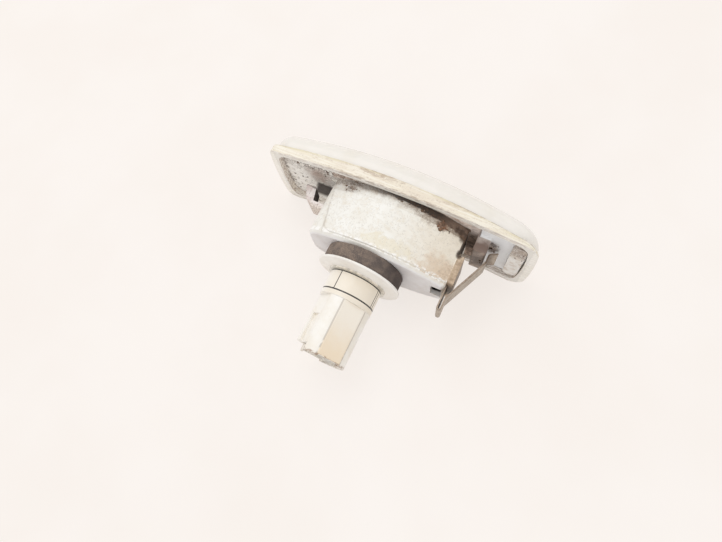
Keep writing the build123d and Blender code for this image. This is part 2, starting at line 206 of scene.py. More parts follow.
# Painted shadow deep in the release pocket
POCKET_SHADOW_DARK = srgb(58, 50, 46)
POCKET_PALE = srgb(250, 247, 244)
MUD_PALE = srgb(254, 251, 246)
MUD_SHADE = srgb(246, 241, 233)
MUD_CRACK = srgb(104, 92, 80)
MUD_BROWN = srgb(172, 146, 132)
HOOK_PALE = srgb(248, 240, 236)
HOOK_SHADE = srgb(224, 208, 202)
HOOK_SPECK = srgb(132, 112, 104)
FOOT_PALE = srgb(232, 220, 208)
FOOT_BROWN = srgb(170, 148, 130)
# Painted shadow with dirt in the hook's slot
SLOT_SHADOW_DARK = srgb(44, 34, 30)
SLOT_SHADOW_BROWN = srgb(66, 54, 48)
PLATE_CLEAN = srgb(253, 254, 255)
PLATE_SHADE = srgb(246, 247, 249)
PAD_PALE = srgb(246, 243, 238)
PAD_SHADE = srgb(222, 212, 200)
PAD_SOIL = srgb(138, 116, 98)
BLOCK_PALE = srgb(206, 194, 186)
BLOCK_SHADE = srgb(126, 106, 96)
BLOCK_BACK = srgb(196, 176, 162)
BLOCK_SOIL = srgb(142, 122, 110)
BAY_PALE = srgb(226, 208, 196)
BAY_BROWN = srgb(176, 154, 140)
TRENCH_BROWN = srgb(112, 91, 78)
TRENCH_PALE = srgb(186, 163, 147)
STRAP_PALE = srgb(206, 184, 158)
STRAP_BROWN = srgb(164, 140, 116)
LEDGE_PALE = srgb(244, 230, 219)
LEDGE_BROWN = srgb(206, 186, 172)
# Brown dirt and painted shadow along the crevice
GRIME_AND_SHADOW = srgb(124, 96, 72)
DRY_DARK = srgb(82, 66, 56)
DRY_PALE = srgb(132, 110, 95)

# Spring and seal colours
STEEL_PALE = srgb(198, 185, 170)
STEEL_DULL = srgb(156, 143, 128)
# Painted shade along the spring's edges
STEEL_EDGE_SHADE = srgb(120, 104, 90)
STEEL_RUST = srgb(126, 96, 74)
RUBBER = srgb(96, 86, 81)
RUBBER_DUSTY = srgb(126, 111, 100)
RUBBER_BLOOM = srgb(168, 148, 131)
RUBBER_DARK = srgb(62, 54, 54)

# Holder colours
CREAM = srgb(251, 247, 240)
CREAM_SHADE = srgb(245, 238, 226)
FLANGE_PALE = srgb(252, 248, 242)
FLANGE_SHADE = srgb(246, 240, 232)
BAND_AGED = srgb(240, 226, 203)
PLUG_PALE = srgb(249, 241, 228)
PLUG_TAN = srgb(244, 226, 200)
MOUTH_SOIL = srgb(150, 116, 88)
ARRIS_LINE = srgb(150, 138, 124)
INK = srgb(38, 34, 34)
HOLDER_SPECK = srgb(156, 132, 108)
# Painted shadow line under the flange
FLANGE_SHADOW_LINE = srgb(150, 146, 134)

# Bulb and metal colours
AMBER = srgb(250, 176, 62)
AMBER_DEEP = srgb(224, 138, 40)
BRASS = srgb(214, 196, 150)
BRASS_DULL = srgb(160, 138, 96)
TUNGSTEN = srgb(150, 150, 154)
TUNGSTEN_DULL = srgb(110, 110, 116)
WIRE = srgb(190, 184, 176)
WIRE_DULL = srgb(150, 142, 132)

# Crumb colours
CRUMB_PALE = srgb(124, 100, 80)
CRUMB_DARK = srgb(74, 59, 49)
CRUMB_RUST = srgb(154, 114, 88)
CRUMB_RUST_DARK = srgb(98, 74, 58)


class Graph:
    """A node material under construction. Coordinates are the part's own, in millimetres."""

    def __init__(self, name):
        self.material = bpy.data.materials.new(name)
        self.material.use_nodes = True
        self.tree = self.material.node_tree
        self.tree.nodes.clear()
        source = self.node("ShaderNodeTexCoord")
        scaled = self.node("ShaderNodeVectorMath", operation="SCALE")
        scaled.inputs["Scale"].default_value = 1 / MM
        self.feed(scaled.inputs[0], source.outputs["Object"])
        self.place = scaled.outputs[0]
        self.x, self.y, self.z = self.split(self.place)
        self.face_x, self.face_y, self.face_z = self.split(source.outputs["Normal"])
        self.patch = self.noise(0.45, 5, 0.6)

    def node(self, kind, **settings):
        """A new node with some of its settings."""
        made = self.tree.nodes.new(kind)
        for key, value in settings.items():
            setattr(made, key, value)
        return made

    def feed(self, socket, source):
        """Links a socket to a source, or sets it to a plain value."""
        if isinstance(source, bpy.types.NodeSocket):
            self.tree.links.new(socket, source)
        else:
            socket.default_value = source

    def split(self, vector):
        """The three components of a vector."""
        made = self.node("ShaderNodeSeparateXYZ")
        self.feed(made.inputs[0], vector)
        return tuple(made.outputs)

    def math(self, operation, first, second=0.0):
        """One arithmetic step."""
        made = self.node("ShaderNodeMath", operation=operation)
        self.feed(made.inputs[0], first)
        self.feed(made.inputs[1], second)
        return made.outputs[0]

    def scaled(self, value, factor):
        """A value times a factor."""
        return self.math("MULTIPLY", value, factor)

    def step(self, value, low, high):
        """Rises smoothly from 0 at low to 1 at high. Falls where low is the larger."""
        made = self.node("ShaderNodeMapRange", interpolation_type="SMOOTHSTEP")
        self.feed(made.inputs["Value"], value)
        if low < high:
            limits = (low, high, 0.0, 1.0)
        else:
            limits = (high, low, 1.0, 0.0)
        for key, limit in zip(("From Min", "From Max", "To Min", "To Max"), limits):
            made.inputs[key].default_value = limit
        return made.outputs["Result"]

    def near(self, value, centre, half, soft):
        """1 within half of a centre, falling to 0 over a soft edge."""
        apart = self.math("ABSOLUTE", self.math("SUBTRACT", value, centre))
        return self.step(apart, half + soft, half)

    def vector(self, operation, first, second):
        """One vector step with a constant."""
        made = self.node("ShaderNodeVectorMath", operation=operation)
        self.feed(made.inputs[0], first)
        made.inputs[1].default_value = second
        return made

    def spot(self, where, ragged=1.6, solid=0.45):
        """A ragged patch round a place, 1 in its middle and 0 beyond its reach."""
        centre, reach = where
        offset = self.vector("SUBTRACT", self.place, centre).outputs[0]
        share = self.vector("DIVIDE", offset, reach).outputs[0]
        apart = self.vector("LENGTH", share, (0, 0, 0)).outputs["Value"]
        torn = self.math("ADD", apart, self.scaled(self.math("SUBTRACT", self.patch, 0.5), ragged))
        return self.step(torn, 1.0, solid)

    def sag(self, middle, radius):
        """How far an arch along X has fallen off at a place."""
        along = self.math("SUBTRACT", self.x, middle)
        return self.scaled(self.math("MULTIPLY", along, along), 0.5 / radius)

    def stretched(self, *factors):
        """The place with each axis scaled, for drawn-out noise."""
        return self.vector("MULTIPLY", self.place, factors).outputs[0]

    def noise(self, scale, detail=3.0, roughness=0.55, place=None):
        """Cloudy noise, with its scale in features per millimetre."""
        made = self.node("ShaderNodeTexNoise")
        self.feed(made.inputs["Vector"], place or self.place)
        made.inputs["Scale"].default_value = scale
        made.inputs["Detail"].default_value = detail
        made.inputs["Roughness"].default_value = roughness
        return made.outputs["Fac"]

    def cracks(self, scale, place=None):
        """Distance to the borders of irregular cells, as in dried mud."""
        made = self.node("ShaderNodeTexVoronoi", feature="DISTANCE_TO_EDGE")
        self.feed(made.inputs["Vector"], place or self.place)
        made.inputs["Scale"].default_value = scale
        return made.outputs["Distance"]

    def mix(self, share, first, second):
        """A colour between two."""
        made = self.node("ShaderNodeMix", data_type="RGBA")
        self.feed(made.inputs[0], share)
        self.feed(made.inputs[6], first)
        self.feed(made.inputs[7], second)
        return made.outputs[2]

    def blend(self, value, low, high, first, second):
        """A colour that goes from one to another as a value goes from low to high."""
        return self.mix(self.step(value, low, high), first, second)

    def lay(self, colour, mask, tone, share=1.0):
        """A colour with a tone laid over it where a mask is, at a share of the mask."""
        return self.mix(mask if share == 1.0 else self.scaled(mask, share), colour, tone)

    def all_of(self, *masks):
        """The product of several masks."""
        total = masks[0]
        for mask in masks[1:]:
            total = self.math("MULTIPLY", total, mask)
        return total

    def any_of(self, *masks):
        """The strongest of several masks."""
        total = masks[0]
        for mask in masks[1:]:
            total = self.math("MAXIMUM", total, mask)
        return total

    def but(self, mask, other):
        """A mask where another one is not."""
        return self.math("MULTIPLY", mask, self.math("SUBTRACT", 1.0, other))

    def bump(self, height, strength, distance, edge=0.0):
        """Surface relief from a height, over edges rounded by a radius. Lengths are in millimetres."""
        made = self.node("ShaderNodeBump")
        made.inputs["Strength"].default_value = strength
        made.inputs["Distance"].default_value = distance * MM
        self.feed(made.inputs["Height"], height)
        if edge:
            rounding = self.node("ShaderNodeBevel", samples=4)
            rounding.inputs["Radius"].default_value = edge * MM
            self.feed(made.inputs["Normal"], rounding.outputs["Normal"])
        return made.outputs["Normal"]

    def shader(self, **sockets):
        """A Principled shader with some of its sockets fed."""
        made = self.node("ShaderNodeBsdfPrincipled")
        for key, source in sockets.items():
            self.feed(made.inputs[key.replace("_", " ")], source)
        return made.outputs["BSDF"]

    def close(self, surface):
        """Ends the material with its surface."""
        self.feed(self.node("ShaderNodeOutputMaterial").inputs["Surface"], surface)
        return self.material

    def finish(self, **sockets):
        """Ends the material with one Principled shader."""
        return self.close(self.shader(**sockets))


class HousingGraph(Graph):
    """The housing's material, with the noises and masks that its regions share."""

    def __init__(self):
        super().__init__("housing_white")
        self.cloud = self.noise(0.16, 4)
        self.fine = self.noise(2.2, 4, 0.65)
        self.rag = self.math("SUBTRACT", self.patch, 0.5)
        self.crack = self.step(self.cracks(0.5, self.stretched(1.0, 1.0, 1.6)), 0.07, 0.02)
        self.backward = self.step(self.face_y, 0.5, 0.8)
        self.on_cup = self.all_of(self.step(self.x, *CUP_START), self.step(self.x, *CUP_STOP))
        self.wall = self.but(self.on_cup, self.backward)
        self.exposed = self.step(self.y, *EXPOSED)
        self.hook_end = self.step(self.x, CUP_HOOK_END, CUP_HOOK_END + 0.2)
        self.hook_floor = self.all_of(self.hook_end, self.step(self.y, *HOOK_FLOOR_TOP), self.exposed)
        self.spring_end = self.step(self.x, CUP_SPRING_END, CUP_SPRING_END - 0.1)
        self.spring_floor = self.all_of(self.spring_end, self.step(self.y, *SPRING_FLOOR_TOP), self.exposed)
        past_side = self.math("SUBTRACT", self.z, CUP_SIDE)
        self.from_cup = self.math("ADD", past_side, self.sag(CUP_MIDDLE, CUP_SIDE_RADIUS))
        self.from_top = self.torn(self.z, 5.0)

    def torn(self, value, reach):
        """A length with a ragged offset of up to half a reach either way."""
        return self.math("ADD", value, self.scaled(self.rag, reach))


def dress(material, *nodes):
    """Gives CAD nodes their one material."""
    for name in nodes:
        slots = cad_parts[name].data.materials
        slots.clear()
        slots.append(material)


def lens_material():
    """Hazed clear plastic: milky sides, a clearer face, a yellowed band and a soiled inner rim."""
    g = Graph("lens_clear")
    over_crease = g.math("ADD", g.math("SUBTRACT", g.y, g.sag(CREST_X, BAND_ARCH)), LENS_SKIRT)
    over_seat = g.math("ADD", g.math("SUBTRACT", g.y, g.sag(LENS_MIDDLE, SEAT_ARCH)), SEAT_BOW)
    from_middle = g.math("ABSOLUTE", g.math("SUBTRACT", g.x, LENS_MIDDLE))
    wide = g.step(g.math("ABSOLUTE", g.z), RIM_INSIDE + 0.4, RIM_INSIDE + 0.9)
    outside = g.any_of(wide, g.step(from_middle, *LENS_END))
    band = g.all_of(g.step(over_crease, -0.1, 0.15), outside)
    middle = g.near(g.x, 2.0, 10.0, 16.0)
    cloud = g.noise(0.12, 4)
    fine = g.noise(1.6, 4, 0.65)
    drawn = g.noise(1.0, 4, 0.6, g.stretched(0.1, 2.4, 1.2))
    streak = g.noise(1.0, 4, 0.65, g.stretched(0.5, 2.2, 1.2))

    # Milky sides, the yellowed band and the lines along it, and painted shade on the dome's shoulder
    colour = g.blend(cloud, 0.35, 0.7, LENS_MILKY, LENS_CLOUDED)
    yellowed = g.blend(drawn, 0.38, 0.62, BAND_PALE, BAND_YELLOW)
    yellowed = g.lay(yellowed, g.all_of(middle, g.step(cloud, 0.3, 0.6)), BAND_TAN, 0.4)
    colour = g.lay(colour, band, yellowed)
    # Painted shade: a thin darker outline on the dome's shoulder, where it turns away
    shoulder = g.all_of(g.near(g.face_z, 0.5, 0.06, 0.12), g.step(g.y, *SHOULDER_BACK))
    colour = g.lay(colour, shoulder, SHOULDER_SHADE_PAINTED, 0.4)
    ridge = g.all_of(g.near(over_crease, 0.3, 0.15, 0.3), g.step(drawn, 0.4, 0.55), wide)
    colour = g.lay(colour, ridge, RIDGE_LINE, 0.45)
    crease = g.all_of(g.near(over_crease, 0.0, 0.08, 0.14), g.step(streak, 0.38, 0.56), wide)
    crease = g.all_of(crease, g.math("ADD", 0.2, g.scaled(g.step(g.x, -8.0, -24.0), 0.4)))
    colour = g.lay(colour, crease, CREASE_LINE)

    # Scratches and smears
    scratch = g.all_of(band, g.near(drawn, 0.5, 0.008, 0.026), g.step(fine, 0.42, 0.6))
    colour = g.lay(colour, scratch, SOIL_WARM, 0.45)
    smear = g.any_of(g.spot(BAND_STAIN), g.scaled(g.spot(BAND_SMEAR), 0.5))
    smear = g.all_of(smear, g.step(over_crease, -0.3, 0.1), g.step(streak, 0.36, 0.6))
    colour = g.lay(colour, smear, SMEAR_BROWN, 0.6)
    edge = g.all_of(g.near(over_seat, -0.12, 0.12, 0.3), wide, middle, g.step(streak, 0.4, 0.6))
    colour = g.lay(colour, edge, SOIL_WARM, 0.5)

    # Back of the rim and the wall inside it
    rim = g.all_of(g.step(g.face_y, 0.6, 0.9), g.step(over_seat, -0.6, -0.3))
    rim_tone = g.blend(cloud, 0.4, 0.66, RIM_PALE, RIM_CLOUDED)
    dirty_rim = g.all_of(wide, g.math("ADD", 0.35, g.scaled(middle, 0.25)), g.step(streak, 0.36, 0.6))
    colour = g.lay(colour, rim, g.lay(rim_tone, dirty_rim, RIM_DIRT))
    well = g.but(g.but(g.step(g.y, *WELL_FRONT), outside), rim)
    colour = g.lay(colour, g.all_of(well, g.step(streak, 0.42, 0.62)), SOIL_WARM, 0.55)

    # Clear in front and over the flutes, hazed elsewhere
    soiled = g.any_of(scratch, smear, edge, crease, well)
    crown = g.step(g.face_y, -0.8, -0.95)
    cavity = g.all_of(g.near(g.z, 0.0, CAVITY_HALF_WIDTH, 0.6), g.step(g.face_y, -0.1, 0.3))
    cavity = g.all_of(cavity, g.near(g.x, LENS_MIDDLE, CAVITY_HALF_LENGTH, 0.6))
    face = g.any_of(crown, cavity)
    rough = g.math("SUBTRACT", g.math("ADD", 0.26, g.scaled(soiled, 0.4)), g.scaled(face, 0.17))
    hazed = g.math("SUBTRACT", 0.72, g.scaled(g.step(cloud, 0.4, 0.7), 0.14))
    clear = g.math("ADD", 0.14, g.all_of(face, hazed))
    clear = g.but(clear, g.any_of(well, band))
    relief = g.math("ADD", g.scaled(fine, 0.3), g.scaled(scratch, -1.0))
    return g.finish(Base_Color=colour, Roughness=rough, Transmission_Weight=clear, IOR=1.49,
                    Normal=g.bump(relief, 0.12, 0.1))


def age_walls_and_edge_light(g, colour):
    """Yellowing, scuffs and stains on the cup's walls, stronger towards the spring end, with painted shade
    along the panel edge and a painted highlight with ragged wear along the back edge.
    """
    toward_spring = g.step(g.torn(g.x, 14.0), 0.0, -22.0)
    colour = g.lay(colour, g.all_of(g.wall, toward_spring), WALL_AGED, 0.9)
    mottle = g.all_of(g.wall, g.step(g.noise(0.7, 5, 0.65), 0.48, 0.68))
    colour = g.lay(colour, mottle, WALL_MOTTLE, 0.5)
    colour = g.lay(colour, g.all_of(g.wall, g.spot(WALL_YELLOWING)), WALL_CREAM, 0.45)
    stain = g.all_of(g.but(g.spot(WALL_STAIN, 1.4, 0.3), g.backward), g.step(g.y, *STAIN_FRONT))
    colour = g.lay(colour, stain, STAIN_TAN, 0.6)
    core = g.all_of(g.but(g.spot(STAIN_CORE), g.backward), g.step(g.fine, 0.34, 0.6))
    colour = g.lay(colour, core, STAIN_BROWN, 0.35)
    scuff = g.all_of(g.wall, g.near(g.noise(0.7, 4, 0.6), 0.5, 0.008, 0.03), g.step(g.fine, 0.46, 0.6))
    colour = g.lay(colour, scuff, SCUFF_GREY, 0.4)
    # Painted shade: a grey line along the raised panel's edge
    slanted = g.math("ADD", g.x, g.scaled(g.y, PANEL_SLANT))
    panel_edge_shade = g.all_of(g.wall, g.near(slanted, PANEL_EDGE, 0.2, 0.3), g.step(g.z, 2.0, 4.0))
    panel_edge_shade = g.all_of(panel_edge_shade, g.step(g.patch, 0.36, 0.56))
    colour = g.lay(colour, panel_edge_shade, PANEL_EDGE_SHADE, 0.4)
    # Painted highlight with ragged chipping along the wall's back edge
    chipped_and_highlight = g.all_of(g.wall, g.step(g.y, *CHIPPED_HIGHLIGHT_EDGE), g.step(g.noise(1.0, 4, 0.6), 0.46, 0.56))
    return g.lay(colour, chipped_and_highlight, CHIP_AND_HIGHLIGHT_WHITE, 0.85), stain


def shade_back_and_pocket(g, colour):
    """Back face in a cooler, darker tone as painted shade, with cloudy variation, and the release pocket,
    dark in its depth as painted shadow.
    """
    back = g.all_of(g.backward, g.step(g.y, CUP_BACK - 0.5, CUP_BACK - 0.2))
    # Painted shade: the back face in a cooler, darker copy of the moulding
    colour = g.lay(colour, back, g.blend(g.cloud, 0.4, 0.66, BACK_SHADE_PALE, BACK_SHADE_CLOUDED))
    pocket = g.all_of(g.near(g.x, POCKET_X, POCKET_HALF, 0.1), g.step(g.math("ABSOLUTE", g.z), *POCKET_SIDE))
    pocket = g.all_of(pocket, g.step(g.y, *POCKET_MOUTH), g.step(g.y, *POCKET_FLOOR))
    # Painted shadow: the pocket dark in its depth, pale towards its mouth
    inside = g.blend(g.torn(g.y, 0.5), *POCKET_SHADOW, POCKET_SHADOW_DARK, POCKET_PALE)
    return g.lay(colour, pocket, inside), back


def soil_hook_floor(g, colour):
    """Dried mud on the plate at the hook end, darker along the rim."""
    mud = g.blend(g.patch, 0.38, 0.66, MUD_PALE, MUD_SHADE)
    flaked = g.all_of(g.crack, g.step(g.patch, 0.46, 0.6))
    mud = g.lay(mud, flaked, MUD_CRACK, 0.65)
    mud = g.lay(mud, g.spot(HOOK_MUD, 1.8, 0.0), MUD_BROWN, 0.8)
    colour = g.lay(colour, g.hook_floor, mud)
    top_shade = g.scaled(g.step(g.from_top, *TOP_SHADE), 0.75)
    top_line = g.step(g.from_top, *TOP_LINE)
    edge_dirt = g.all_of(g.any_of(top_shade, top_line), g.step(g.fine, 0.4, 0.62))
    end_line = g.all_of(g.step(g.torn(g.x, 4.0), *END_LINE), g.step(g.patch, 0.46, 0.58))
    edge_dirt = g.any_of(edge_dirt, g.scaled(end_line, 0.6))
    return g.lay(colour, g.all_of(g.hook_floor, edge_dirt), SOIL, 0.95)


def soil_and_shade_hook(g, colour):
    """Hook, pale with specks and a soiled foot, its free end darkened by dirt and painted shadow; the faces
    towards the cup and the slot floor dark with painted shadow and dirt.
    """
    hook = g.all_of(g.hook_end, g.step(g.y, *HOOK_FRONT))
    tone = g.blend(g.patch, 0.42, 0.66, HOOK_PALE, HOOK_SHADE)
    tone = g.lay(tone, g.step(g.fine, 0.58, 0.66), HOOK_SPECK, 0.6)
    foot = g.step(g.torn(g.y, 3.0), *HOOK_FOOT)
    tone = g.lay(tone, foot, g.blend(g.fine, 0.4, 0.6, FOOT_PALE, FOOT_BROWN), 0.7)
    # Painted shadow and dirt: the arm's free end darkened where it meets the gap at the flange
    tip = g.step(g.torn(g.y, 2.0), *HOOK_TIP)
    tone = g.lay(tone, tip, SOIL, 0.75)
    colour = g.lay(colour, hook, tone)

    # Painted shadow with dirt: the arm's faces towards the cup, the slot floor and the cup's end beside it
    inner = g.all_of(g.step(g.face_x, -0.3, -0.7), g.step(g.y, *ARM_BACK))
    beside_arm = g.step(g.math("ADD", g.x, g.scaled(g.z, SLOT_SLANT)), *SLOT_ARM_SIDE)
    slot = g.all_of(g.step(g.torn(g.z, 2.0), *SLOT_TOP), g.step(g.z, *SLOT_FOOT))
    slot = g.all_of(slot, beside_arm, g.hook_floor)
    nose = g.all_of(g.step(g.x, CUP_HOOK_END + 0.6, CUP_HOOK_END + 0.3), g.step(g.face_x, 0.5, 0.8))
    nose = g.all_of(nose, g.step(g.y, *NOSE_BACK), g.near(g.z, 0.0, NOSE_HALF, 1.2))
    slot_shadow_and_dirt = g.step(g.x, CUP_HOOK_END - 0.4, CUP_HOOK_END - 0.1)
    slot_shadow_and_dirt = g.all_of(slot_shadow_and_dirt, g.any_of(inner, slot, nose))
    return g.lay(colour, slot_shadow_and_dirt, g.blend(g.fine, 0.4, 0.62, SLOT_SHADOW_DARK, SLOT_SHADOW_BROWN), 0.92), slot_shadow_and_dirt


def soil_spring_floor(g, colour):
    """Smooth plate at the spring end, with its soiled pad and the stop block."""
    colour = g.lay(colour, g.spring_floor, g.blend(g.cloud, 0.4, 0.7, PLATE_CLEAN, PLATE_SHADE))
    pad = g.all_of(g.step(g.x, *PAD_START), g.step(g.y, *PAD_FOOT))
    pad_tone = g.blend(g.patch, 0.4, 0.64, PAD_PALE, PAD_SHADE)
    pad_tone = g.lay(pad_tone, g.all_of(g.spot(PAD_DIRT), g.step(g.fine, 0.3, 0.55)), PAD_SOIL, 0.8)
    colour = g.lay(colour, pad, pad_tone)

    block = g.all_of(g.spring_end, g.step(g.x, *BLOCK_START))
    block = g.all_of(block, g.step(g.y, *BLOCK_FOOT), g.step(g.y, *BLOCK_TOP))
    above = g.blend(g.torn(g.y, 4.0), *BLOCK_SHADOW, BLOCK_PALE, BLOCK_SHADE)
    behind = g.blend(g.patch, 0.38, 0.62, BLOCK_BACK, BLOCK_SOIL)
    colour = g.lay(colour, block, g.mix(g.backward, above, behind))
    bay = g.all_of(g.spring_floor, g.step(g.x, *BAY_START))
    colour = g.lay(colour, bay, g.blend(g.patch, 0.4, 0.62, BAY_PALE, BAY_BROWN), 0.85)
    rib = g.all_of(g.spring_floor, g.near(g.x, RIB_X, 0.1, 0.2), g.step(g.z, *RIB_START))
    return g.lay(colour, rib, SOIL, 0.6)


def soil_and_shade_spring_seat(g, colour):
    """Dirt round the spring's seat and the strap; the cup's heel and its notch dark with dirt and painted
    shadow.
    """
    trench = g.all_of(g.near(g.x, TRENCH_X, TRENCH_HALF, 0.5), g.step(g.torn(g.z, 10.0), *TRENCH_TOP))
    dirt = g.any_of(trench, g.all_of(g.spot(SPRING_DIRT), g.step(g.fine, 0.28, 0.5)))
    dirt = g.all_of(dirt, g.spring_end, g.exposed, g.step(g.y, *TRENCH_BACK))
    colour = g.lay(colour, dirt, g.blend(g.patch, 0.42, 0.58, TRENCH_BROWN, TRENCH_PALE), 0.88)
    strap = g.all_of(g.spring_end, g.step(g.y, *STRAP_FRONT))
    colour = g.lay(colour, strap, g.blend(g.patch, 0.4, 0.62, STRAP_PALE, STRAP_BROWN))
    # Painted shadow with dirt on the heel's face towards the spring and at its notch
    heel = g.all_of(g.step(g.face_x, -0.4, -0.8), g.near(g.x, CUP_SPRING_END, 0.2, 0.2))
    heel = g.all_of(heel, g.step(g.y, *HEEL_BACK))
    notch = g.any_of(g.spot(HEEL_GRIME, 1.6), g.spot(HEEL_NOTCH, 1.0), heel)
    colour = g.lay(colour, notch, g.blend(g.fine, 0.42, 0.6, SOIL_DARK, SOIL), 0.9)
    return colour, g.any_of(dirt, notch)


def pack_and_shade_crevice(g, colour):
    """Dirt and painted shadow in the gap beside the rim, deeper towards the spring end."""
    upper = g.all_of(g.step(g.z, 1.0, 3.0), g.step(g.x, CUP_SPRING_END - 0.5, CUP_SPRING_END - 0.2))
    upper = g.all_of(upper, g.on_cup, g.exposed, g.step(g.from_cup, -1.2, -0.7))
    rise = g.scaled(g.math("MAXIMUM", g.math("SUBTRACT", FILL_START, g.x), 0.0), FILL_RISE)
    ragged = g.math("ADD", g.scaled(g.rag, 2.2), g.scaled(g.math("SUBTRACT", g.fine, 0.5), 1.2))
    depth = g.math("SUBTRACT", g.math("ADD", g.y, ragged), rise)
    along = g.torn(g.x, 8.0)
    beside = g.step(g.torn(g.from_cup, 1.6), 0.9, 0.2)

    # Dark dirt and painted shadow filling the gap
    filled = g.math("ADD", 0.3, g.scaled(g.step(g.x, 10.0, -6.0), 0.64))
    packed_dirt_and_shadow = g.all_of(upper, filled, g.step(depth, -0.6, -1.0), g.step(along, 14.0, 11.0), beside)
    lump = g.all_of(upper, g.spot(CREVICE_LUMP, 1.8, 0.2))
    # Painted shadow line along the rim with a brown edge of dirt
    fringe = g.all_of(g.step(depth, 1.4, -0.7), g.step(along, 2.0, -8.0))
    fringe = g.any_of(g.scaled(fringe, 0.95), g.scaled(g.step(depth, 0.4, -0.8), 0.7))
    grime_and_shadow_line = g.any_of(g.scaled(g.spot(CREVICE_GRIME), 0.7), fringe, lump)
    grime_and_shadow_line = g.all_of(upper, grime_and_shadow_line, g.step(g.fine, 0.26, 0.58), beside)
    on_plate = g.step(g.y, 0.0, -1.0)
    top_edge = g.all_of(upper, g.step(g.from_top, 7.0, 8.6), g.step(g.x, 6.0, 9.0), on_plate)
    grime_and_shadow_line = g.any_of(grime_and_shadow_line, g.all_of(top_edge, g.step(g.fine, 0.38, 0.58)))

    beyond = g.all_of(upper, g.backward, on_plate, g.step(g.from_cup, 0.3, 0.8))
    colour = g.lay(colour, beyond, g.blend(g.patch, 0.4, 0.62, LEDGE_PALE, LEDGE_BROWN))
    colour = g.lay(colour, grime_and_shadow_line, GRIME_AND_SHADOW, 0.85)
    dark = g.blend(g.fine, 0.4, 0.65, SOIL_DARK, SOIL)
    dry = g.blend(g.patch, 0.4, 0.62, DRY_DARK, DRY_PALE)
    colour = g.lay(colour, packed_dirt_and_shadow, g.blend(g.torn(g.x, 10.0), -12.0, -19.0, dark, dry))
    rusted = g.all_of(upper, g.spot(RUST, 1.4))
    colour = g.lay(colour, rusted, g.blend(g.fine, 0.42, 0.6, RUST_TONE, SOIL), 0.85)
    return colour, packed_dirt_and_shadow, grime_and_shadow_line, rusted


def housing_material():
    """Off-white moulding under road dirt: caked floor, stained wall, crevices and slots black with dirt and
    painted shadow, and painted shade and a highlight on the back face and edges.
    """
    g = HousingGraph()
    colour = g.blend(g.cloud, 0.35, 0.7, MOULDING, MOULDING_SHADE)
    colour, stain = age_walls_and_edge_light(g, colour)
    colour, back = shade_back_and_pocket(g, colour)
    colour = soil_hook_floor(g, colour)
    colour, slot_shadow_and_dirt = soil_and_shade_hook(g, colour)
    colour = soil_spring_floor(g, colour)
    colour, spring_dirt_and_shadow = soil_and_shade_spring_seat(g, colour)
    colour, packed_dirt_and_shadow, grime_and_shadow_line, rusted = pack_and_shade_crevice(g, colour)

    # Loose grit, in clusters
    specks = g.all_of(g.step(g.noise(4.0, 3, 0.65), 0.64, 0.76), g.step(g.noise(0.3, 3), 0.52, 0.66))
    loose = g.math("SUBTRACT", 0.5, g.scaled(g.wall, 0.3))
    colour = g.lay(colour, g.all_of(g.but(specks, back), loose), SOIL)

    soiled = g.any_of(packed_dirt_and_shadow, g.hook_floor, stain, rusted, spring_dirt_and_shadow, slot_shadow_and_dirt)
    rough = g.math("ADD", 0.42, g.scaled(soiled, 0.45))
    caked = g.any_of(packed_dirt_and_shadow, g.hook_floor, grime_and_shadow_line, rusted)
    caked = g.all_of(caked, g.math("SUBTRACT", g.patch, g.scaled(g.crack, 0.4)))
    relief = g.math("ADD", g.scaled(g.fine, 0.1), caked)
    return g.finish(Base_Color=colour, Roughness=rough, Normal=g.bump(relief, 0.5, 0.5, 0.15))


def spring_material():
    """Dull tarnished strip with lengthways drawing marks and rust freckles, its edges darker as painted
    shade.
    """
    g = Graph("spring_steel")
    drawn = g.noise(1.0, 4, 0.6, g.stretched(1.2, 1.2, 7.0))
    fine = g.noise(3.0, 4, 0.65)
    colour = g.blend(drawn, 0.35, 0.65, STEEL_PALE, STEEL_DULL)
    # Painted shade: the strip darker along its edges
    rim = g.step(g.math("ABSOLUTE", g.z), *STRIP_EDGE)
    colour = g.lay(colour, rim, STEEL_EDGE_SHADE, 0.5)
    rust = g.all_of(g.step(g.patch, 0.5, 0.64), g.step(fine, 0.44, 0.6))
    colour = g.lay(colour, rust, STEEL_RUST, 0.55)
    foot = g.step(g.math("ADD", g.y, g.scaled(g.patch, 3.0)), *STRIP_FOOT_BACK)
    foot = g.all_of(foot, g.step(g.y, *STRIP_FOOT_FRONT))
    colour = g.lay(colour, foot, SOIL, 0.75)
    metal = g.math("SUBTRACT", 0.7, g.scaled(g.any_of(rust, foot), 0.5))
    rough = g.math("ADD", 0.42, g.scaled(rust, 0.35))
    return g.finish(Base_Color=colour, Metallic=metal, Roughness=rough,
                    Normal=g.bump(g.math("ADD", drawn, rust), 0.25, 0.1, 0.08))


def seal_material():
    """Weathered rubber with a dusty brown bloom."""
    g = Graph("seal_rubber")
    fine = g.noise(4.0, 4, 0.7)
    colour = g.blend(g.patch, 0.35, 0.66, RUBBER, RUBBER_DUSTY)
    worn = g.step(g.math("ADD", g.x, g.scaled(g.patch, 8.0)), -4.0, 8.0)
    bloom = g.all_of(g.step(fine, 0.46, 0.64), g.math("ADD", 0.25, g.scaled(worn, 0.75)))
    colour = g.lay(colour, bloom, RUBBER_BLOOM, 0.6)
    shaded = g.step(g.math("ADD", g.x, g.scaled(g.patch, 6.0)), 0.0, -9.0)
    colour = g.lay(colour, shaded, RUBBER_DARK, 0.6)
    return g.finish(Base_Color=colour, Roughness=0.85, Normal=g.bump(fine, 0.4, 0.12, 0.2))


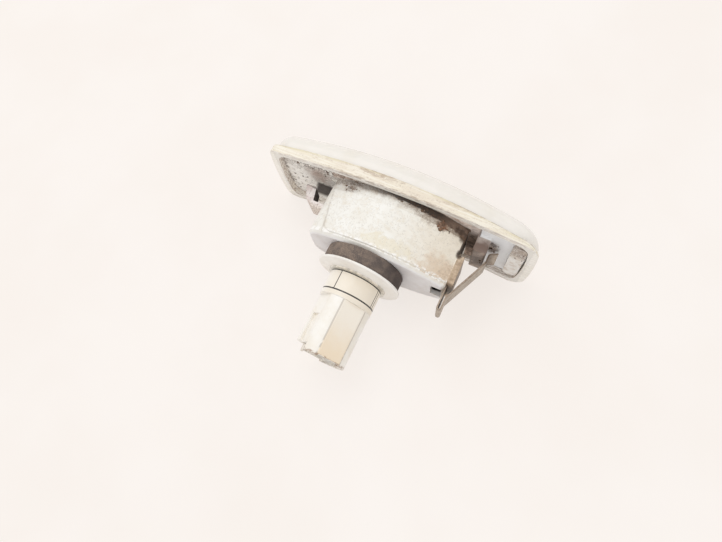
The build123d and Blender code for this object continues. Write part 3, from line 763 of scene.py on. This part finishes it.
def holder_material():
    """Cream moulding with a printed band, a tan plug socket and a dirty mouth."""
    g = Graph("holder_cream")
    cloud = g.noise(0.2, 4)
    fine = g.noise(2.6, 4, 0.65)
    turn = math.radians(PLUG_CLOCK)
    across = g.math("SUBTRACT", g.scaled(g.z, math.cos(turn)), g.scaled(g.x, math.sin(turn)))
    off_axis = g.math("ABSOLUTE", across)
    right = g.step(across, -2.0, 7.0)

    colour = g.blend(cloud, 0.35, 0.68, CREAM, CREAM_SHADE)
    flange = g.step(g.y, BAND_FRONT + 0.2, BAND_FRONT - 0.1)
    colour = g.lay(colour, flange, g.blend(cloud, 0.4, 0.68, FLANGE_PALE, FLANGE_SHADE))
    band = g.all_of(g.step(g.y, BAND_FRONT, BAND_FRONT + 0.5), g.step(g.y, BAND_BACK, BAND_BACK - 0.2))
    colour = g.lay(colour, g.all_of(band, right), BAND_AGED, 0.6)

    # Plug socket, with tan flats between dark edges
    flat = g.step(off_axis, PLUG_FLAT - 0.25, PLUG_FLAT - 0.1)
    flat = g.all_of(flat, g.step(g.y, BAND_BACK - 0.1, BAND_BACK))
    worn_y = g.math("ADD", g.y, g.scaled(g.patch, 6.0))
    colour = g.lay(colour, flat, g.blend(worn_y, *PLUG_AGED, PLUG_PALE, PLUG_TAN))
    mouth = g.step(g.math("ADD", g.y, g.scaled(g.patch, 0.8)), PLUG_BACK - 0.5, PLUG_BACK + 0.1)
    mouth = g.all_of(mouth, g.step(g.noise(0.9, 4, 0.6), 0.38, 0.62))
    mouth = g.all_of(mouth, g.math("ADD", 0.35, g.scaled(right, 0.5)))
    colour = g.lay(colour, mouth, MOUTH_SOIL)
    arris = g.all_of(g.near(off_axis, PLUG_FLAT - 0.2, 0.05, 0.12), g.step(g.y, BAND_BACK, BAND_BACK + 0.2))
    colour = g.lay(colour, g.all_of(arris, g.step(g.patch, 0.3, 0.46)), ARRIS_LINE, 0.45)

    # Printed rings and marks round the band
    ink = g.any_of(g.near(g.y, PRINT_RINGS[0], 0.13, 0.05), g.near(g.y, PRINT_RINGS[1], 0.17, 0.05))
    azimuth = g.math("DEGREES", g.math("ARCTAN2", g.z, g.x))
    between = g.near(g.y, sum(PRINT_RINGS) / 2, 2.5, 0.2)
    for mark in PRINT_MARKS:
        ink = g.any_of(ink, g.all_of(between, g.near(azimuth, mark, 0.8, 0.4)))
    colour = g.lay(colour, g.all_of(ink, band, g.step(fine, 0.3, 0.36)), INK)

    # Specks, and a painted shadow line under the flange
    specks = g.all_of(g.step(g.noise(3.4, 2, 0.6), 0.67, 0.74), g.step(g.patch, 0.47, 0.62))
    colour = g.lay(colour, g.but(specks, flange), HOLDER_SPECK, 0.45)
    flange_shadow = g.all_of(g.near(g.y, BAND_FRONT + 0.4, 0.2, 0.2), g.step(g.patch, 0.4, 0.6))
    colour = g.lay(colour, flange_shadow, FLANGE_SHADOW_LINE, 0.5)
    rough = g.math("ADD", 0.36, g.scaled(g.any_of(mouth, specks), 0.4))
    return g.finish(Base_Color=colour, Roughness=rough, Normal=g.bump(fine, 0.1, 0.1, 0.15))


def metal_material(name, bright, dull, roughness):
    """Plain metal with a patchy tarnish."""
    g = Graph(name)
    tarnish = g.noise(0.9, 4, 0.6)
    rough = g.math("ADD", roughness, g.scaled(tarnish, 0.2))
    return g.finish(Base_Color=g.blend(tarnish, 0.4, 0.66, bright, dull), Metallic=1.0, Roughness=rough,
                    Normal=g.bump(tarnish, 0.1, 0.05))


def bulb_material():
    """Amber glass, a little deeper at the pinched base."""
    g = Graph("bulb_amber")
    height = g.math("ADD", g.y, g.scaled(g.patch, 3.0))
    colour = g.blend(height, *BULB_PINCH, AMBER, AMBER_DEEP)
    return g.finish(Base_Color=colour, Roughness=0.06, Transmission_Weight=0.85, IOR=1.5,
                    Normal=g.bump(g.patch, 0.1, 0.1))


def crumb_material():
    """Dry soil, rusty beside the rust on the wall."""
    g = Graph("soil_crumb")
    grain = g.noise(1.4, 4, 0.65)
    colour = g.blend(grain, 0.38, 0.64, CRUMB_PALE, CRUMB_DARK)
    colour = g.lay(colour, g.spot(RUST, 0.6), g.blend(grain, 0.4, 0.62, CRUMB_RUST, CRUMB_RUST_DARK))
    return g.finish(Base_Color=colour, Roughness=0.9, Normal=g.bump(g.noise(6.0, 3, 0.7), 0.6, 0.1))


def drop_crumbs(built, tree, dice, direction, centre, spread, count, sizes):
    """Lumps of soil dropped along a direction from round a place, each where it first lands."""
    smallest, largest = sizes
    for _ in range(count):
        start = [middle + reach * dice.uniform(-1, 1) for middle, reach in zip(centre, spread)]
        size = smallest + (largest - smallest) * dice.random() ** 2
        stretch = Vector([dice.uniform(*CRUMB_STRETCH) for _ in range(3)])
        seed = Vector([dice.uniform(0, CRUMB_SEEDS) for _ in range(3)])
        hit, normal, _, _ = tree.ray_cast(Vector(start) * MM, direction)
        if hit is None or normal.dot(direction) > CRUMB_FACING:
            continue
        lump = bmesh.ops.create_icosphere(built, subdivisions=2, radius=1.0)
        for vertex in lump["verts"]:
            swell = 1 + CRUMB_SWELL * noise.noise(vertex.co * CRUMB_GRAIN + seed)
            shape = vertex.co * stretch
            vertex.co = hit + (shape - normal * (normal.dot(shape) * CRUMB_FLATTEN)) * size * MM * swell


def make_crumbs():
    """Small lumps of soil dropped on the housing, as one piece."""
    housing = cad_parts["housing"]
    tree = BVHTree.FromObject(housing, bpy.context.evaluated_depsgraph_get())
    built = bmesh.new()
    drop = functools.partial(drop_crumbs, built, tree, random.Random(CRUMB_DICE))
    down = Vector((0, 0, -1))
    forward = Vector((0, -1, 0))

    # On the plate at the hook end, beside the spring's foot and on the pad
    drop(forward, centre=(25.0, 30.0, 7.4), spread=(5.5, 0.0, 2.6), count=14, sizes=(0.12, 0.42))
    drop(forward, centre=(31.0, 30.0, -4.0), spread=(3.0, 0.0, 5.0), count=8, sizes=(0.1, 0.28))
    drop(forward, centre=(-29.8, 30.0, 0.0), spread=(2.6, 0.0, 2.6), count=8, sizes=(0.12, 0.34))
    drop(forward, centre=(-37.2, 30.0, 5.6), spread=(1.8, 0.0, 3.0), count=8, sizes=(0.1, 0.26))

    # Along the crevice beside the rim
    drop(down, centre=(-16.8, 1.5, 30.0), spread=(2.0, 0.9, 0.0), count=12, sizes=(0.18, 0.52))
    drop(down, centre=(11.4, 0.3, 30.0), spread=(1.8, 0.8, 0.0), count=5, sizes=(0.2, 0.45))
    drop(down, centre=(-10.0, -0.2, 30.0), spread=(9.0, 0.5, 0.0), count=10, sizes=(0.1, 0.36))

    mesh = bpy.data.meshes.new("soil_crumbs")
    built.to_mesh(mesh)
    built.free()
    mesh.shade_smooth()
    mesh.materials.append(crumb_material())
    crumbs = bpy.data.objects.new("soil_crumbs", mesh)
    bpy.context.scene.collection.objects.link(crumbs)
    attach(crumbs, "lamp")


def make_camera():
    """Camera at the photograph's place, with its roll."""
    data = bpy.data.cameras.new("camera")
    data.sensor_width = SENSOR_WIDTH
    data.lens = SENSOR_WIDTH * FOCAL_PIXELS / IMAGE_WIDTH
    data.clip_start = MM
    camera = bpy.data.objects.new("camera", data)
    bpy.context.scene.collection.objects.link(camera)
    aim = (CAMERA_AIM - CAMERA_PLACE).to_track_quat("-Z", "Y")
    roll = Matrix.Rotation(math.radians(CAMERA_ROLL), 4, "Z")
    camera.matrix_world = Matrix.Translation(CAMERA_PLACE) @ aim.to_matrix().to_4x4() @ roll
    bpy.context.scene.camera = camera


def seen_directly(tree):
    """1 for what the camera sees itself, in a reflection or through clear material."""
    path = tree.nodes.new("ShaderNodeLightPath")
    seen = path.outputs["Is Camera Ray"]
    for ray in ("Is Glossy Ray", "Is Transmission Ray"):
        either = tree.nodes.new("ShaderNodeMath")
        either.operation = "MAXIMUM"
        tree.links.new(either.inputs[0], seen)
        tree.links.new(either.inputs[1], path.outputs[ray])
        seen = either.outputs[0]
    return seen


def make_floor():
    """Plain pale floor under the lamp, part of it white by itself so that its shadows stay faint."""
    mesh = bpy.data.meshes.new("floor")
    sides = (-FLOOR_HALF, FLOOR_HALF)
    corners = [(x, y, FLOOR_Z) for x in sides for y in sides]
    mesh.from_pydata(corners, [], [(0, 2, 3, 1)])
    floor = bpy.data.objects.new("floor", mesh)
    bpy.context.scene.collection.objects.link(floor)
    g = Graph("floor_paper")
    colour = g.blend(g.noise(0.02, 3), 0.3, 0.7, PALE_FLOOR, PAPER_SHADE)
    glow = g.node("ShaderNodeEmission")
    g.feed(glow.inputs["Color"], colour)
    both = g.node("ShaderNodeMixShader")
    g.feed(both.inputs[0], g.scaled(seen_directly(g.tree), FLOOR_GLOW))
    g.feed(both.inputs[1], g.shader(Base_Color=colour, Roughness=0.9))
    g.feed(both.inputs[2], glow.outputs[0])
    mesh.materials.append(g.close(both.outputs[0]))


def make_light():
    """Even studio light with one large soft lamp high on the hook side."""
    world = bpy.data.worlds.new("studio")
    bpy.context.scene.world = world
    world.use_nodes = True
    tree = world.node_tree
    lighting = tree.nodes["Background"]
    lighting.inputs["Color"].default_value = (1, 1, 1, 1)
    lighting.inputs["Strength"].default_value = WORLD_STRENGTH
    backdrop = tree.nodes.new("ShaderNodeBackground")
    backdrop.inputs["Color"].default_value = PALE_FLOOR
    backdrop.inputs["Strength"].default_value = 1.0
    choice = tree.nodes.new("ShaderNodeMixShader")
    tree.links.new(choice.inputs[0], seen_directly(tree))
    tree.links.new(choice.inputs[1], lighting.outputs[0])
    tree.links.new(choice.inputs[2], backdrop.outputs[0])
    tree.links.new(tree.nodes["World Output"].inputs["Surface"], choice.outputs[0])

    data = bpy.data.lights.new("key", "AREA")
    data.shape = "DISK"
    data.size = KEY_SIZE
    data.energy = KEY_POWER
    key = bpy.data.objects.new("key", data)
    bpy.context.scene.collection.objects.link(key)
    key.location = KEY_PLACE
    key.rotation_mode = "QUATERNION"
    key.rotation_quaternion = (KEY_AIM - KEY_PLACE).to_track_quat("-Z", "Y")


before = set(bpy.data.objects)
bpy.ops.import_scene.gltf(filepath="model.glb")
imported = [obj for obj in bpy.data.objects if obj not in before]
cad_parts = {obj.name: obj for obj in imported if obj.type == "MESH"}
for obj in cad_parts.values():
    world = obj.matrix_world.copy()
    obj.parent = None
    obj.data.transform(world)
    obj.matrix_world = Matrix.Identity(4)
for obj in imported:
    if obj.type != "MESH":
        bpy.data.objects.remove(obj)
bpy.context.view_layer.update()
bpy.context.scene.view_settings.view_transform = "Standard"

make_camera()
make_floor()
make_light()

dress(lens_material(), "lens")
dress(housing_material(), "housing")
dress(spring_material(), "retaining_spring")
dress(holder_material(), "bulb_holder")
dress(seal_material(), "socket_seal")
dress(metal_material("terminal_brass", BRASS, BRASS_DULL, 0.25), "terminal_upper", "terminal_lower")
dress(bulb_material(), "bulb_glass")
dress(metal_material("filament_wire", TUNGSTEN, TUNGSTEN_DULL, 0.3), "bulb_filament")
dress(metal_material("lead_wire", WIRE, WIRE_DULL, 0.25), "bulb_lead_a", "bulb_lead_b")
make_crumbs()
